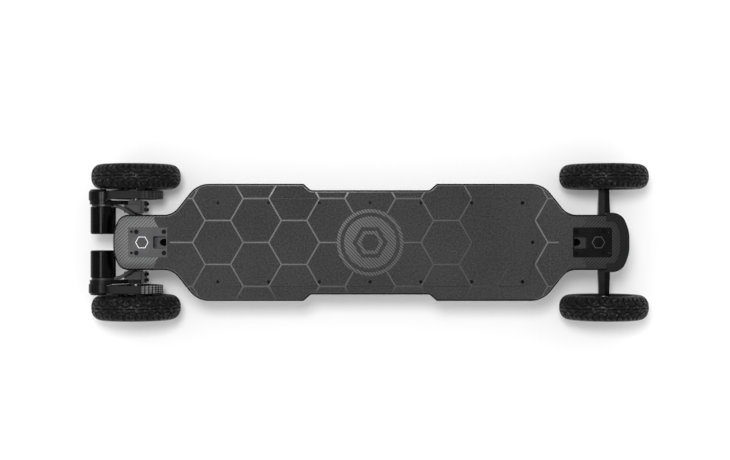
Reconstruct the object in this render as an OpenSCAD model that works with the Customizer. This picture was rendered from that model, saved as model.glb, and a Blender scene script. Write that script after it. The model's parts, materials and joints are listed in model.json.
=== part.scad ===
// Four-wheel electric skateboard: a hollow deck with a battery bay, two double-kingpin
// trucks, pneumatic wheels and two belt-driven motors behind the rear axle.
// +X is the front, +Y the left, +Z up. The origin is on the ground below the middle.

/* [Deck] */
// How far the deck reaches past each axle
overhang = 31.5; // [25:0.5:60]
// Greatest width of the deck
deck_w = 229; // [215:1:245]
// Width of the deck between the foot platforms
waist_w = 204; // [196:1:212]
// Width of the tail and the nose
end_w = 108; // [100:1:114]
// Thickness of the deck away from the battery bay
deck_t = 13; // [11:0.5:15]
// How far the belly hangs below the deck's underside
belly_h = 23; // [20:0.5:28]
// Thickness of the lid over the battery bay
lid_t = 3; // [2:0.5:4]
// Distance from each axle to the end of the lid
lid_to_axle = 143; // [136:1:155]
// Width of the lid
lid_w = 171.6; // [165:0.2:178]
// Thickness of the grip sheet
grip_t = 1; // [0.6:0.1:1.5]
// Side length of the hexagons in the grip
hex_side = 49.5; // [45:0.5:54]
// Width of the lines between the hexagons
hex_line = 3; // [2:0.2:4]

/* [Wheels] */
// Distance between the two axles
wheelbase = 940; // [900:1:1128]
// Distance between the middles of the left and right tyres
track = 262; // [258:1:280]
// Outside diameter of the tyre
tyre_d = 178; // [170:1:184]
// Width of the tyre
tyre_w = 50; // [46:1:52]
// Diameter of the rim's tyre seat
rim_d = 90; // [86:1:94]
// Diameter of the axle rod
axle_d = 10; // [8:0.5:10]

/* [Trucks] */
// Height of the deck's underside above the axle
truck_h = 70; // [70:0.5:76]
// Tilt of both steering axes from level
steer_tilt = 40; // [38:1:42]
// Distance between the two steering axes, square to them
stage_gap = 40; // [40:0.5:43]
// Width of the hanger bar where it leaves the middle
hanger_w = 27; // [25:0.5:29]
// Diameter of the steering bushings
bushing_d = 23; // [21:0.5:24]

/* [Drive] */
// Diameter of the motor can
motor_d = 50; // [46:1:52]
// Length of the motor can
motor_len = 54; // [44:1:58]
// Distance of the motor axis behind the rear axle
motor_back = 59; // [57:1:64]
// Height of the motor axis above the rear axle
motor_up = 38; // [36:1:40]
// Teeth on the wheel pulley
wheel_teeth = 66; // [60:1:68]
// Teeth on the motor pulley
motor_teeth = 15; // [14:1:17]
// Width of the drive belt
belt_w = 15; // [12:1:15]

/* [Hidden] */
$fn = 48;

// Heights
axle_z = tyre_d / 2;
deck_under = axle_z + truck_h;
deck_top = deck_under + deck_t;
belly_z = deck_under - belly_h;

// The front wheels reach further than the belt guards, so the middle of the whole object
// lies ahead of the middle of the wheelbase.
guard_r = motor_d / 2 + 3.5;
shift_x = (motor_back + guard_r - tyre_d / 2) / 2;
rear_x = -wheelbase / 2 + shift_x;
front_x = wheelbase / 2 + shift_x;
mid_x = shift_x;

gap = 0.3;      // clearance between loose neighbours
run = 0.05;     // radial clearance of a running fit

// ---------------------------------------------------------------- outlines

function unit(v) = v / norm(v);
function xy(p) = [p.x, p.y];

// Points of the arc that rounds corner b between its neighbours a and c.
function arc_corner(a, b, c) =
  let (
    r = b.z,
    u = unit(xy(a) - xy(b)),
    v = unit(xy(c) - xy(b)),
    half = acos(u * v) / 2,
    centre = xy(b) + unit(u + v) * r / sin(half),
    from = xy(b) + u * r / tan(half) - centre,
    to = xy(b) + v * r / tan(half) - centre,
    a0 = atan2(from.y, from.x),
    turn = (atan2(to.y, to.x) - a0 + 540) % 360 - 180,
    n = max(2, ceil(abs(turn) / 7))
  )
  [for (i = [0 : n]) centre + r * [cos(a0 + turn * i / n), sin(a0 + turn * i / n)]];

// A polygon whose corners are [x, y, fillet radius], counter-clockwise.
function rounded(pts) =
  let (n = len(pts))
  [for (i = [0 : n - 1]) each arc_corner(pts[(i + n - 1) % n], pts[i], pts[(i + 1) % n])];

// The same corners moved inwards by d, with their fillets to match.
function inset(pts, d) =
  let (n = len(pts))
  [for (i = [0 : n - 1])
    let (
      e1 = unit(xy(pts[i]) - xy(pts[(i + n - 1) % n])),
      e2 = unit(xy(pts[(i + 1) % n]) - xy(pts[i])),
      n1 = [-e1.y, e1.x],
      n2 = [-e2.y, e2.x],
      p = xy(pts[i]) + d * (n1 + n2) / (1 + n1 * n2),
      outer = cross(e1, e2) > 0
    )
    [p.x, p.y, max(0.6, pts[i].z + (outer ? -d : d))]];

// All four quarters of an outline from the quarter with x > 0 and y > 0.
function four(q) =
  let (n = len(q))
  concat(
    q,
    [for (i = [n - 1 : -1 : 0]) [-q[i].x, q[i].y, q[i].z]],
    [for (i = [0 : n - 1]) [-q[i].x, -q[i].y, q[i].z]],
    [for (i = [n - 1 : -1 : 0]) [q[i].x, -q[i].y, q[i].z]]
  );

// Deck corners. The shoulders keep their distance from the axles, so that the tyres
// stay clear of the deck.
deck_half = wheelbase / 2 + overhang;
neck_to_axle = 84.5;        // the narrow end begins here, clear of the tyres
shoulder_to_axle = 132.5;   // the full width begins here
deck_corners = four([
  [deck_half, 20, 60],
  [deck_half - 13, end_w / 2, 24],
  [wheelbase / 2 - neck_to_axle, end_w / 2, 36],
  [wheelbase / 2 - shoulder_to_axle, deck_w / 2, 48],
  [130, deck_w / 2, 5],
  [116, waist_w / 2, 10]
]);
lid_half = wheelbase / 2 - lid_to_axle;
lid_corners = four([
  [lid_half, 14, 40],
  [lid_half - 24, lid_w / 2, 5]
]);

bevel_w = 4.5;                                // deck edge left bare round the grip
ledge_w = 15.8;                               // lid rests on this
bay_corners = inset(lid_corners, ledge_w);
bay_floor = belly_z + 3;
seal_t = 1;
ledge_z = deck_top - lid_t - seal_t;

module slab(corners, z0, z1)
  translate([mid_x, 0, z0])
    linear_extrude(z1 - z0)
      polygon(rounded(corners));

// A block, given its corners, with optional rounded vertical edges.
module block(lo, hi, r = 0)
  translate([0, 0, lo.z])
    linear_extrude(hi.z - lo.z)
      if (r > 0)
        polygon(rounded([
          [hi.x, hi.y, r], [lo.x, hi.y, r], [lo.x, lo.y, r], [hi.x, lo.y, r]
        ]));
      else
        translate([lo.x, lo.y]) square([hi.x - lo.x, hi.y - lo.y]);

// A prism along Y from a profile in the X-Z plane.
module prism_y(y0, y1)
  translate([0, y1, 0])
    rotate([90, 0, 0])
      linear_extrude(y1 - y0)
        children();

module rod_y(r, y0, y1)
  translate([0, y0, 0])
    rotate([-90, 0, 0])
      cylinder(r = r, h = y1 - y0);

module tube_y(r_out, r_in, y0, y1)
  difference() {
    rod_y(r_out, y0, y1);
    rod_y(r_in, y0 - 1, y1 + 1);
  }

module both_sides()
  for (side = [0, 1])
    mirror([0, side, 0])
      children();

// Children are drawn for a truck whose axle is at the origin and whose outward
// direction is +X. These put them at the front and at the rear.
module at_front()
  translate([front_x, 0, axle_z])
    children();

module at_rear()
  translate([rear_x, 0, axle_z])
    mirror([1, 0, 0])
      children();

// ---------------------------------------------------------------- mounting pattern

hole_dy = 41.3;             // across the board
hole_dx = 53.9;             // along the board
hole_far = 63.5;            // to the spare outer holes
pattern_u = -41;            // middle of the pattern, outward from the axle
bolt_r = 2.5;
bolt_hole_r = 2.7;
head_r = 4.5;
plate_u0 = -74.5;
plate_u1 = 1.5;
plate_w = 58;
plate_t = 3;
plate_sink = 2;
window_u0 = -72.5;
window_u1 = -47;
window_w = 24;
riser_t = 3;
base_t = 7;

module bolt_places()
  for (du = [-hole_dx / 2, hole_dx / 2], y = [-hole_dy / 2, hole_dy / 2])
    translate([pattern_u + du, y, 0])
      children();

module spare_places()
  for (y = [-hole_dy / 2, hole_dy / 2])
    translate([pattern_u - hole_dx / 2 + hole_far, y, 0])
      children();

// Everything that goes straight down through the deck at a truck.
module truck_holes() {
  bolt_places() translate([0, 0, truck_h - 20]) cylinder(r = bolt_hole_r, h = 60);
  spare_places() translate([0, 0, truck_h - 20]) cylinder(r = bolt_hole_r, h = 60);
  block([window_u0, -window_w / 2, truck_h - 9], [window_u1, window_w / 2, truck_h + 40], 3);
}

module at_trucks() {
  at_front() children();
  at_rear() children();
}

// ---------------------------------------------------------------- deck

belly_half = lid_half + 10;
belly_w = lid_w + 2;
belly_slope = 12;           // how far the belly's sides lean in from top to bottom
belly_ramp = 30;            // and its ends

module belly_section(half, lean)
  polygon([
    [-half - 1, deck_under + 3], [-half, deck_under], [-half + lean, belly_z],
    [half - lean, belly_z], [half, deck_under], [half + 1, deck_under + 3]
  ]);

module belly()
  translate([mid_x, 0, 0])
    intersection() {
      translate([0, 0, belly_z])
        linear_extrude(deck_under + 2 - belly_z)
          polygon(rounded(four([[belly_half, 20, 40], [belly_half - 24, belly_w / 2, 12]])));
      prism_y(-belly_w, belly_w)
        belly_section(belly_half, belly_ramp);
      rotate([90, 0, 90])
        translate([0, 0, -belly_half])
          linear_extrude(2 * belly_half)
            belly_section(belly_w / 2, belly_slope);
    }

// Lid screws: seven along each side and one at the front end.
screw_pitch = (lid_half - 30) / 3;
screw_y = lid_w / 2 - 8.8;
screw_end_x = lid_half - 10;
screw_r = 1.5;
screw_head_r = 3.4;

module screw_places()
  translate([mid_x, 0, 0]) {
    for (i = [-3 : 3], y = [-screw_y, screw_y])
      translate([i * screw_pitch, y, 0])
        children();
    translate([screw_end_x, 0, 0])
      children();
  }

port_x = mid_x - lid_half + 42;
port_y = 34;
button_y = -34;
port_r = 9;
button_r = 7;
grommet_u = -24;            // outward from the rear axle
grommet_y = 42;
channel_end = mid_x - lid_half + 37;

module deck_shell()
  color([0.16, 0.16, 0.17])
    difference() {
      union() {
        slab(deck_corners, deck_under, deck_top);
        belly();
      }
      slab(inset(lid_corners, -gap), ledge_z, deck_top + 1);
      slab(bay_corners, bay_floor, deck_top);
      screw_places() translate([0, 0, ledge_z - 8]) cylinder(r = screw_r, h = 20);
      at_trucks() {
        truck_holes();
        block([plate_u0 - gap, -plate_w / 2 - gap, truck_h + deck_t - plate_sink],
              [plate_u1 + gap, plate_w / 2 + gap, truck_h + deck_t + 1], 4);
      }
      at_rear() both_sides()
        translate([grommet_u, grommet_y, truck_h - 1]) cylinder(r = 6, h = 9);
      both_sides()
        block([rear_x - grommet_u, grommet_y - 4, deck_under + 1.5],
              [channel_end, grommet_y + 4, deck_under + 8]);
      translate([port_x, port_y, belly_z - 1]) cylinder(r = port_r + run, h = 10);
      translate([port_x, button_y, belly_z - 1]) cylinder(r = button_r + 2 + run, h = 10);
    }

module deck_lid()
  color([0.16, 0.16, 0.17])
    difference() {
      slab(lid_corners, deck_top - lid_t, deck_top);
      screw_places() {
        translate([0, 0, deck_top - lid_t - 1]) cylinder(r = screw_r + 0.2, h = 10);
        translate([0, 0, deck_top - 2]) cylinder(r1 = screw_r + 0.2, r2 = screw_head_r + 0.2, h = 2.01);
      }
    }

module lid_seal()
  color([0.05, 0.05, 0.05])
    difference() {
      slab(inset(lid_corners, 0.5), ledge_z, ledge_z + seal_t);
      slab(inset(lid_corners, ledge_w - 1), ledge_z - 1, ledge_z + seal_t + 1);
      screw_places() translate([0, 0, ledge_z - 1]) cylinder(r = screw_r + 0.3, h = 5);
    }

module lid_screws()
  color([0.08, 0.08, 0.08])
    screw_places()
      difference() {
        union() {
          translate([0, 0, ledge_z - 7]) cylinder(r = screw_r - 0.02, h = deck_top - ledge_z + 6);
          translate([0, 0, deck_top - 2]) cylinder(r1 = screw_r, r2 = screw_head_r, h = 2);
        }
        translate([0, 0, deck_top - 1.2]) cylinder(r = 1.2, h = 2, $fn = 6);
      }

// Lines between the hexagons, centred on the middle of the deck. The lines end before
// the plates, and the front of the lid has a stretch without any.
plain_x0 = 187;
plain_x1 = 318;
plain_y = -63;
line_front = 368;
line_rear = -391;
hex_h = sqrt(3) * hex_side;

module hex_lines()
  intersection() {
    translate([line_rear, -deck_w / 2]) square([line_front - line_rear, deck_w]);
    union()
      for (k = [-5 : 5], m = [-2 : 1], j = [0 : 2]) {
        centre = [k * 1.5 * hex_side, (m + (abs(k) % 2) / 2) * hex_h];
        p = centre + hex_side * [cos(60 * j), sin(60 * j)];
        q = centre + hex_side * [cos(60 * j + 60), sin(60 * j + 60)];
        mid = (p + q) / 2;
        plain = mid.x > plain_x0 && mid.x < plain_x1 && mid.y > plain_y;
        if (!plain && abs(mid.y) < deck_w / 2)
          translate(p)
            rotate(atan2(q.y - p.y, q.x - p.x))
              translate([0, -hex_line / 2])
                square([hex_side, hex_line]);
      }
  }

grip_ends = 8.5 * hex_side; // the grip stops along the grid before the truck plates
ring_r = 65.2;
ring_w = 7;
disc_r = 51;
emblem_r = 34;
seam = 0.3;                 // half the slit between the lid's grip and the deck's

module grip_deck()
  color([0.2, 0.2, 0.2])
    translate([mid_x, 0, deck_top])
      linear_extrude(grip_t)
        difference() {
          polygon(rounded(inset(deck_corners, bevel_w)));
          polygon(rounded(inset(lid_corners, -seam)));
          hex_lines();
          for (end = [-1, 1]) {
            translate([end * 9 * hex_side, 0]) circle(r = hex_side, $fn = 6);
            translate([end * (grip_ends + 100), 0]) square([200, deck_w], center = true);
            translate([end * (wheelbase + plate_u0 + plate_u1) / 2, 0])
              square([plate_u1 - plate_u0 + 2 * gap, plate_w + 2 * gap], center = true);
          }
        }

module grip_lid()
  color([0.2, 0.2, 0.2])
    difference() {
      translate([mid_x, 0, deck_top])
        linear_extrude(grip_t)
          difference() {
            polygon(rounded(inset(lid_corners, seam)));
            difference() {
              hex_lines();
              circle(r = ring_r);
            }
            difference() {
              circle(r = ring_r);
              circle(r = ring_r - ring_w);
            }
            difference() {
              circle(r = disc_r);
              circle(r = emblem_r, $fn = 6);
            }
            difference() {
              circle(r = emblem_r - 8, $fn = 6);
              circle(r = emblem_r - 16, $fn = 6);
            }
          }
      screw_places() translate([0, 0, deck_top - 1]) cylinder(r = screw_head_r + 0.5, h = 5);
    }

// Rubber guard round the nose. It grips the deck's edge from above and below.
bumper_out = 4;
bumper_in = 13;
bumper_lip = 2;
bumper_len = 41;

module nose_bumper()
  color([0.07, 0.07, 0.07])
    intersection() {
      difference() {
        slab(inset(deck_corners, -bumper_out), deck_under - bumper_lip, deck_top + bumper_lip);
        slab(inset(deck_corners, -0.02), deck_under - 0.02, deck_top + 0.02);
        slab(inset(deck_corners, bumper_in), deck_under - bumper_lip - 1, deck_top + bumper_lip + 1);
      }
      translate([mid_x + deck_half - bumper_len, -end_w, deck_under - 10])
        cube([bumper_len + 20, 2 * end_w, deck_t + 20]);
    }

module mount_plates()
  color([0.1, 0.1, 0.1])
    at_trucks()
      translate([0, 0, truck_h + deck_t - plate_sink])
        difference() {
          block([plate_u0, -plate_w / 2, 0], [plate_u1, plate_w / 2, plate_t], 4);
          block([window_u0, -window_w / 2, -1], [window_u1, window_w / 2, plate_t + 1], 3);
          bolt_places() {
            translate([0, 0, -1]) cylinder(r = bolt_hole_r, h = 10);
            translate([0, 0, plate_t - 2.2]) cylinder(r1 = bolt_hole_r, r2 = head_r + 0.1, h = 2.21);
          }
          spare_places() translate([0, 0, -1]) cylinder(r = bolt_hole_r, h = 10);
        }

badge_r = 13;
badge_u = -25;

module badges()
  color([0.85, 0.85, 0.85])
    at_trucks()
      translate([badge_u, 0, truck_h + deck_t - plate_sink + plate_t])
        difference() {
          cylinder(r = badge_r, h = 0.8, $fn = 6);
          translate([0, 0, 0.4]) difference() {
            cylinder(r = badge_r - 2, h = 1, $fn = 6);
            translate([0, 0, -1]) cylinder(r = badge_r - 4.5, h = 3, $fn = 6);
          }
        }

nut_h = 5;
nut_r = 4.6;
head_h = 2.2;
plate_top = truck_h + deck_t - plate_sink + plate_t;
base_z = truck_h - riser_t - base_t;

module mount_bolts()
  color([0.08, 0.08, 0.08])
    at_trucks()
      bolt_places() {
        difference() {
          union() {
            translate([0, 0, base_z - nut_h - 2]) cylinder(r = bolt_r, h = plate_top - base_z + nut_h);
            translate([0, 0, plate_top - head_h]) cylinder(r1 = bolt_r, r2 = head_r, h = head_h);
          }
          translate([0, 0, plate_top - 1.5]) cylinder(r = 1.7, h = 3, $fn = 6);
        }
        translate([0, 0, base_z - nut_h])
          difference() {
            cylinder(r = nut_r, h = nut_h, $fn = 6);
            translate([0, 0, -1]) cylinder(r = bolt_r + 0.02, h = nut_h + 2);
          }
      }

// ---------------------------------------------------------------- trucks
// Each truck steers about two parallel tilted axes. "Stage" coordinates have X along the
// steering axis, Z along the kingpin and the origin in the middle of the moving ring.

axle_x = 8;                               // axle from the upper ring, along the steering axis
axle_drop = stage_gap + 18;               // and square to it
ring_t = 8;
upper_rubber = 10;
lower_rubber = 9;
cup_t = 1.5;
seat_t = 8;
kingpin_r = 4;
king_head_r = 6.5;
king_head_h = 6;
king_nut_h = 6.5;
lower_ring_x = 34;
pivot_r = 5;
cup_r = 7;
boss_r = 10;

ring_u = -axle_x * cos(steer_tilt) - axle_drop * sin(steer_tilt);
ring_h = -axle_x * sin(steer_tilt) + axle_drop * cos(steer_tilt);

module upper_stage()
  translate([ring_u, 0, ring_h])
    rotate([0, -steer_tilt, 0])
      children();

module lower_stage()
  upper_stage()
    translate([lower_ring_x, 0, -stage_gap])
      children();

seat_z = ring_t / 2 + upper_rubber + cup_t;
tail_z = -ring_t / 2 - lower_rubber - cup_t - king_nut_h - 1.5;

// Bolt, two cup washers and a nut.
module kingpin_set(seat, wall) {
  difference() {
    union() {
      translate([0, 0, tail_z]) cylinder(r = kingpin_r, h = seat + wall - tail_z);
      translate([0, 0, seat + wall]) cylinder(r = king_head_r, h = king_head_h);
    }
    translate([0, 0, seat + wall + 2]) cylinder(r = 3.4, h = 10, $fn = 6);
  }
  for (z = [seat - cup_t, -ring_t / 2 - lower_rubber - cup_t])
    translate([0, 0, z])
      difference() {
        cylinder(r = bushing_d / 2 + 0.5, h = cup_t);
        translate([0, 0, -1]) cylinder(r = kingpin_r + 0.02, h = 5);
      }
  translate([0, 0, tail_z + 1.5])
    difference() {
      cylinder(r = 7.5, h = king_nut_h, $fn = 6);
      translate([0, 0, -1]) cylinder(r = kingpin_r + 0.02, h = king_nut_h + 2);
    }
}

module bushing(h, barrel)
  difference() {
    cylinder(r1 = bushing_d / 2, r2 = barrel ? bushing_d / 2 : bushing_d / 2 - 2.5, h = h);
    translate([0, 0, -1]) cylinder(r = kingpin_r + 0.3, h = h + 2);
  }

module bushing_pair(upper_h) {
  translate([0, 0, ring_t / 2]) bushing(upper_h, true);
  mirror([0, 0, 1]) translate([0, 0, ring_t / 2]) bushing(lower_rubber, false);
}

module baseplates()
  color([0.62, 0.62, 0.64])
    at_trucks()
      difference() {
        union() {
          block([plate_u0 - 1, -28, base_z], [plate_u1 + 2, 28, truck_h - riser_t], 8);
          intersection() {
            union() {
              upper_stage() translate([0, 0, seat_z]) cylinder(r = 14, h = 30);
              upper_stage() translate([23.5, 0, 0]) rotate([0, 90, 0]) cylinder(r = boss_r, h = 18);
            }
            block([-100, -30, 0], [40, 30, truck_h - riser_t]);
          }
        }
        upper_stage() {
          cylinder(r = kingpin_r + 0.1, h = 60);
          translate([0, 0, seat_z + seat_t]) cylinder(r = king_head_r + 0.6, h = 40);
          translate([20, 0, 0]) rotate([0, 90, 0]) cylinder(r = cup_r, h = 15);
        }
        bolt_places() translate([0, 0, truck_h - 40]) cylinder(r = bolt_hole_r, h = 60);
        spare_places() translate([0, 0, truck_h - 40]) cylinder(r = bolt_hole_r, h = 60);
      }

module riser_pads()
  color([0.05, 0.05, 0.05])
    at_trucks()
      difference() {
        block([plate_u0 - 1, -28, truck_h - riser_t], [plate_u1 + 2, 28, truck_h], 8);
        truck_holes();
      }

module upper_kingpins()
  color([0.12, 0.12, 0.12])
    at_trucks()
      upper_stage()
        kingpin_set(seat_z, seat_t);

module upper_bushings()
  color([0.9, 0.35, 0.1])
    upper_stage()
      bushing_pair(upper_rubber);

module rear_upper_bushings() at_rear() upper_bushings();
module front_upper_bushings() at_front() upper_bushings();

module pivot_cup(h)
  rotate([0, 90, 0])
    difference() {
      cylinder(r = cup_r - 0.02, h = h);
      translate([0, 0, -1]) cylinder(r = pivot_r + run, h = h + 2);
    }

module upper_pivot_cups()
  color([0.15, 0.15, 0.15])
    at_trucks()
      upper_stage()
        translate([23.5, 0, 0]) pivot_cup(11);

lower_rubber_up = 9;
lower_seat_z = ring_t / 2 + lower_rubber_up + cup_t;
lower_seat_t = 7;
seat_from = lower_seat_z - stage_gap;
arm_y = 9;
cup2_x = -22;               // the lower pivot boss, along the steering axis

module knuckle()
  upper_stage()
    difference() {
      union() {
        translate([0, 0, -ring_t / 2]) cylinder(r = 13, h = ring_t);
        block([0, -arm_y, -ring_t / 2], [22, arm_y, ring_t / 2]);
        block([14, -arm_y, -stage_gap + 7], [22, arm_y, ring_t / 2]);
        translate([13, 0, 0]) rotate([0, 90, 0]) cylinder(r = pivot_r, h = 20);
        translate([lower_ring_x, 0, seat_from]) cylinder(r = 13, h = lower_seat_t);
        block([14, -11, seat_from], [lower_ring_x, 11, seat_from + lower_seat_t]);
        block([cup2_x, -arm_y, -stage_gap + 7], [21, arm_y, -stage_gap + 15]);
        block([cup2_x, -8.5, -stage_gap], [cup2_x + 16, 8.5, -stage_gap + 8]);
        translate([cup2_x, 0, -stage_gap]) rotate([0, 90, 0]) cylinder(r = 8.5, h = 16);
      }
      translate([0, 0, -ring_t]) cylinder(r = 7, h = 2 * ring_t);
      translate([lower_ring_x, 0, -stage_gap]) cylinder(r = kingpin_r + 0.1, h = 40);
      translate([cup2_x + 3, 0, -stage_gap]) rotate([0, 90, 0]) cylinder(r = cup_r - 0.5, h = 20);
    }

module lower_kingpin() lower_stage() kingpin_set(lower_seat_z, lower_seat_t);
module lower_bushings() lower_stage() bushing_pair(lower_rubber_up);
module lower_pivot_cup()
  lower_stage()
    translate([cup2_x + 3 - lower_ring_x, 0, 0])
      rotate([0, 90, 0])
        difference() {
          cylinder(r = cup_r - 0.52, h = 13);
          translate([0, 0, 1]) cylinder(r = pivot_r - 0.5 + run, h = 20);
        }

module rear_knuckle() color([0.1, 0.1, 0.1]) at_rear() knuckle();
module rear_lower_kingpin() color([0.12, 0.12, 0.12]) at_rear() lower_kingpin();
module rear_lower_bushings() color([0.9, 0.35, 0.1]) at_rear() lower_bushings();
module rear_lower_pivot_cup() color([0.15, 0.15, 0.15]) at_rear() lower_pivot_cup();
module front_knuckle() color([0.1, 0.1, 0.1]) at_front() knuckle();
module front_lower_kingpin() color([0.12, 0.12, 0.12]) at_front() lower_kingpin();
module front_lower_bushings() color([0.9, 0.35, 0.1]) at_front() lower_bushings();
module front_lower_pivot_cup() color([0.15, 0.15, 0.15]) at_front() lower_pivot_cup();

// Hanger: a ring on the lower kingpin, a pivot nose, and a bar with the axle in it.
bar_from = 12;
bar_h = 24;

// Ridged bar section, wide along X.
module bar_section(w, h)
  polygon([
    [-w / 2, -h / 2 + 5], [-w / 2 + 5, -h / 2], [w / 2 - 5, -h / 2], [w / 2, -h / 2 + 5],
    [w / 2, h / 2 - 6], [0, h / 2], [-w / 2, h / 2 - 6]
  ]);

// Tapered bar from y0 to y1; the section shrinks to the share of its size given.
module taper_bar(y0, y1, share)
  translate([0, y0, 0])
    rotate([-90, 0, 0])
      mirror([0, 1, 0])
        linear_extrude(y1 - y0, scale = share)
          bar_section(hanger_w, bar_h);

module hanger_middle()
  lower_stage() {
    difference() {
      union() {
        translate([0, 0, -ring_t / 2]) cylinder(r = 13, h = ring_t);
        block([axle_x - 7 - lower_ring_x, -8, -ring_t / 2], [0, 8, ring_t / 2]);
        translate([cup2_x + 4.5 - lower_ring_x, 0, 0])
          rotate([0, 90, 0])
            cylinder(r = pivot_r - 0.5, h = 24);
        block([axle_x - 7 - lower_ring_x, -8, -18], [axle_x + 9 - lower_ring_x, 8, 0]);
        translate([axle_x - lower_ring_x, 0, -18]) rod_y(9, -bar_from - 0.5, bar_from + 0.5);
      }
      translate([0, 0, -ring_t]) cylinder(r = 7, h = 2 * ring_t);
    }
  }

// Places along the axle, outward from the middle. The drive is stacked inwards from
// the tyre: belt, bracket, motor.
axle_r = axle_d / 2;
bearing_r = 13;
bearing_w = 8;
hub_half = 15;
wheel_y = track / 2;
inner_bearing = wheel_y - hub_half + 0.3;
outer_bearing = wheel_y + hub_half - 0.3 - bearing_w;
nut_y = outer_bearing + bearing_w + 1.5;
belt_y1 = wheel_y - tyre_w / 2 - 4.5;
belt_y0 = belt_y1 - belt_w;
pulley_bearing = belt_y1 - 3.2 - bearing_w;
mount_y0 = belt_y0 - 11.8;
mount_y1 = mount_y0 + 8;
can_y1 = mount_y0 - 4.7;
can_y0 = can_y1 - motor_len;
clamp_from = mount_y0 - 15.7;
rear_bar_end = mount_y1 + 1.3;
front_bar_end = inner_bearing - 8.3;
bar_tip_w = 20.5;

module front_hanger()
  color([0.1, 0.1, 0.1])
    at_front()
      difference() {
        union() {
          hanger_middle();
          both_sides() taper_bar(bar_from, front_bar_end, bar_tip_w / hanger_w);
        }
        rod_y(axle_r + 0.02, -200, 200);
      }

square_bar = 25;

module rear_hanger()
  color([0.1, 0.1, 0.1])
    at_rear()
      difference() {
        union() {
          hanger_middle();
          both_sides() {
            taper_bar(bar_from, clamp_from - 2, (square_bar - 0.6) / hanger_w);
            prism_y(clamp_from - 3, rear_bar_end) square(square_bar, center = true);
          }
        }
        rod_y(axle_r + 0.02, -200, 200);
      }

// ---------------------------------------------------------------- axles and bearings

module spacer(y0, y1) tube_y(axle_r + 3, axle_r + 0.02, y0, y1);

module axle_parts(bar_end, stops) {
  rod_y(axle_r, -nut_y - 7.5, nut_y + 7.5);
  both_sides() {
    for (s = stops) spacer(s[0], s[1]);
    tube_y(9.5, axle_r + 0.02, nut_y - 1.5, nut_y);
    difference() {
      translate([0, nut_y, 0])
        rotate([-90, 30, 0])
          cylinder(r = 9.2, h = 6.5, $fn = 6);
      rod_y(axle_r + 0.02, nut_y - 1, nut_y + 10);
    }
  }
}

module front_axle()
  color([0.7, 0.7, 0.7])
    at_front()
      axle_parts(front_bar_end, [
        [front_bar_end, inner_bearing], [inner_bearing + bearing_w, outer_bearing]
      ]);

module rear_axle()
  color([0.7, 0.7, 0.7])
    at_rear()
      axle_parts(rear_bar_end, [
        [rear_bar_end, pulley_bearing], [pulley_bearing + bearing_w, inner_bearing],
        [inner_bearing + bearing_w, outer_bearing]
      ]);

// Inner race, outer race and the shield between them.
module bearing(y) {
  tube_y(axle_r + 2.6, axle_r + 0.02, y, y + bearing_w);
  tube_y(bearing_r, bearing_r - 2.2, y, y + bearing_w);
  tube_y(bearing_r - 2.3, axle_r + 2.7, y + 0.8, y + bearing_w - 0.8);
}

module front_wheel_bearings()
  color([0.6, 0.6, 0.62])
    at_front() both_sides() {
      bearing(inner_bearing);
      bearing(outer_bearing);
    }

module rear_wheel_bearings()
  color([0.6, 0.6, 0.62])
    at_rear() both_sides() {
      bearing(pulley_bearing);
      bearing(inner_bearing);
      bearing(outer_bearing);
    }

// ---------------------------------------------------------------- wheels

rim_r = rim_d / 2;
tyre_r = tyre_d / 2;
spokes = 5;

// Tyre section, thinned by d all round, with a flat seat facing the rim. It is a
// superellipse of this power; 2 would be round.
tyre_power = 2.2;
tyre_mid = (tyre_r + rim_r) / 2;
tyre_h = (tyre_r - rim_r) / 2;
seat_turn = 70;
function tyre_section(d) =
  let (h = tyre_h - d, w = tyre_w / 2 - d, n = 34)
  [for (i = [0 : n])
    let (a = -seat_turn + (180 + 2 * seat_turn) * i / n)
    [tyre_mid + h * sign(sin(a)) * pow(abs(sin(a)), 2 / tyre_power),
     w * sign(cos(a)) * pow(abs(cos(a)), 2 / tyre_power)]];

module revolve_y(y)
  translate([0, y, 0])
    rotate([-90, 0, 0])
      rotate_extrude($fn = 96)
        children();

valve_turn = 36;
stem_r = 2.8;

module at_valve(z)
  translate([0, wheel_y, 0])
    rotate([0, valve_turn, 0])
      translate([0, 0, z])
        children();

// Casing, and inside it the inner tube with its valve stem.
module tyre()
  color([0.05, 0.05, 0.05]) {
    difference() {
      revolve_y(wheel_y) polygon(tyre_section(0));
      revolve_y(wheel_y) polygon(tyre_section(4.5));
      at_valve(rim_r - 2) cylinder(r = stem_r + 0.4, h = 10);
    }
    difference() {
      revolve_y(wheel_y) polygon(tyre_section(4.8));
      revolve_y(wheel_y) polygon(tyre_section(6.2));
    }
    at_valve(rim_r - 13) cylinder(r = stem_r, h = 17.5);
  }

flange_h = 4;
// The flange stands beside the tyre, where its flank is as wide as this.
flange_y = tyre_w / 2 * pow(1 - pow(1 - flange_h / tyre_h, tyre_power), 1 / tyre_power) + 0.2;
rim_half = flange_y + 2.6;
web_half = 5;
hub_r = 19;
rim_wall = 4;

module rim_body()
  revolve_y(wheel_y)
    polygon([
      [bearing_r + run, -hub_half], [hub_r, -hub_half], [hub_r, -web_half],
      [rim_r - rim_wall, -web_half], [rim_r - rim_wall, -rim_half],
      [rim_r + flange_h, -rim_half], [rim_r + flange_h, -flange_y], [rim_r, -flange_y],
      [rim_r, flange_y], [rim_r + flange_h, flange_y], [rim_r + flange_h, rim_half],
      [rim_r - rim_wall, rim_half], [rim_r - rim_wall, web_half],
      [hub_r, web_half], [hub_r, hub_half], [bearing_r + run, hub_half],
      [bearing_r + run, hub_half - 8.6], [bearing_r - 2, hub_half - 8.6],
      [bearing_r - 2, -hub_half + 8.6], [bearing_r + run, -hub_half + 8.6]
    ]);

hub_bolt_r = 30;

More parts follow.
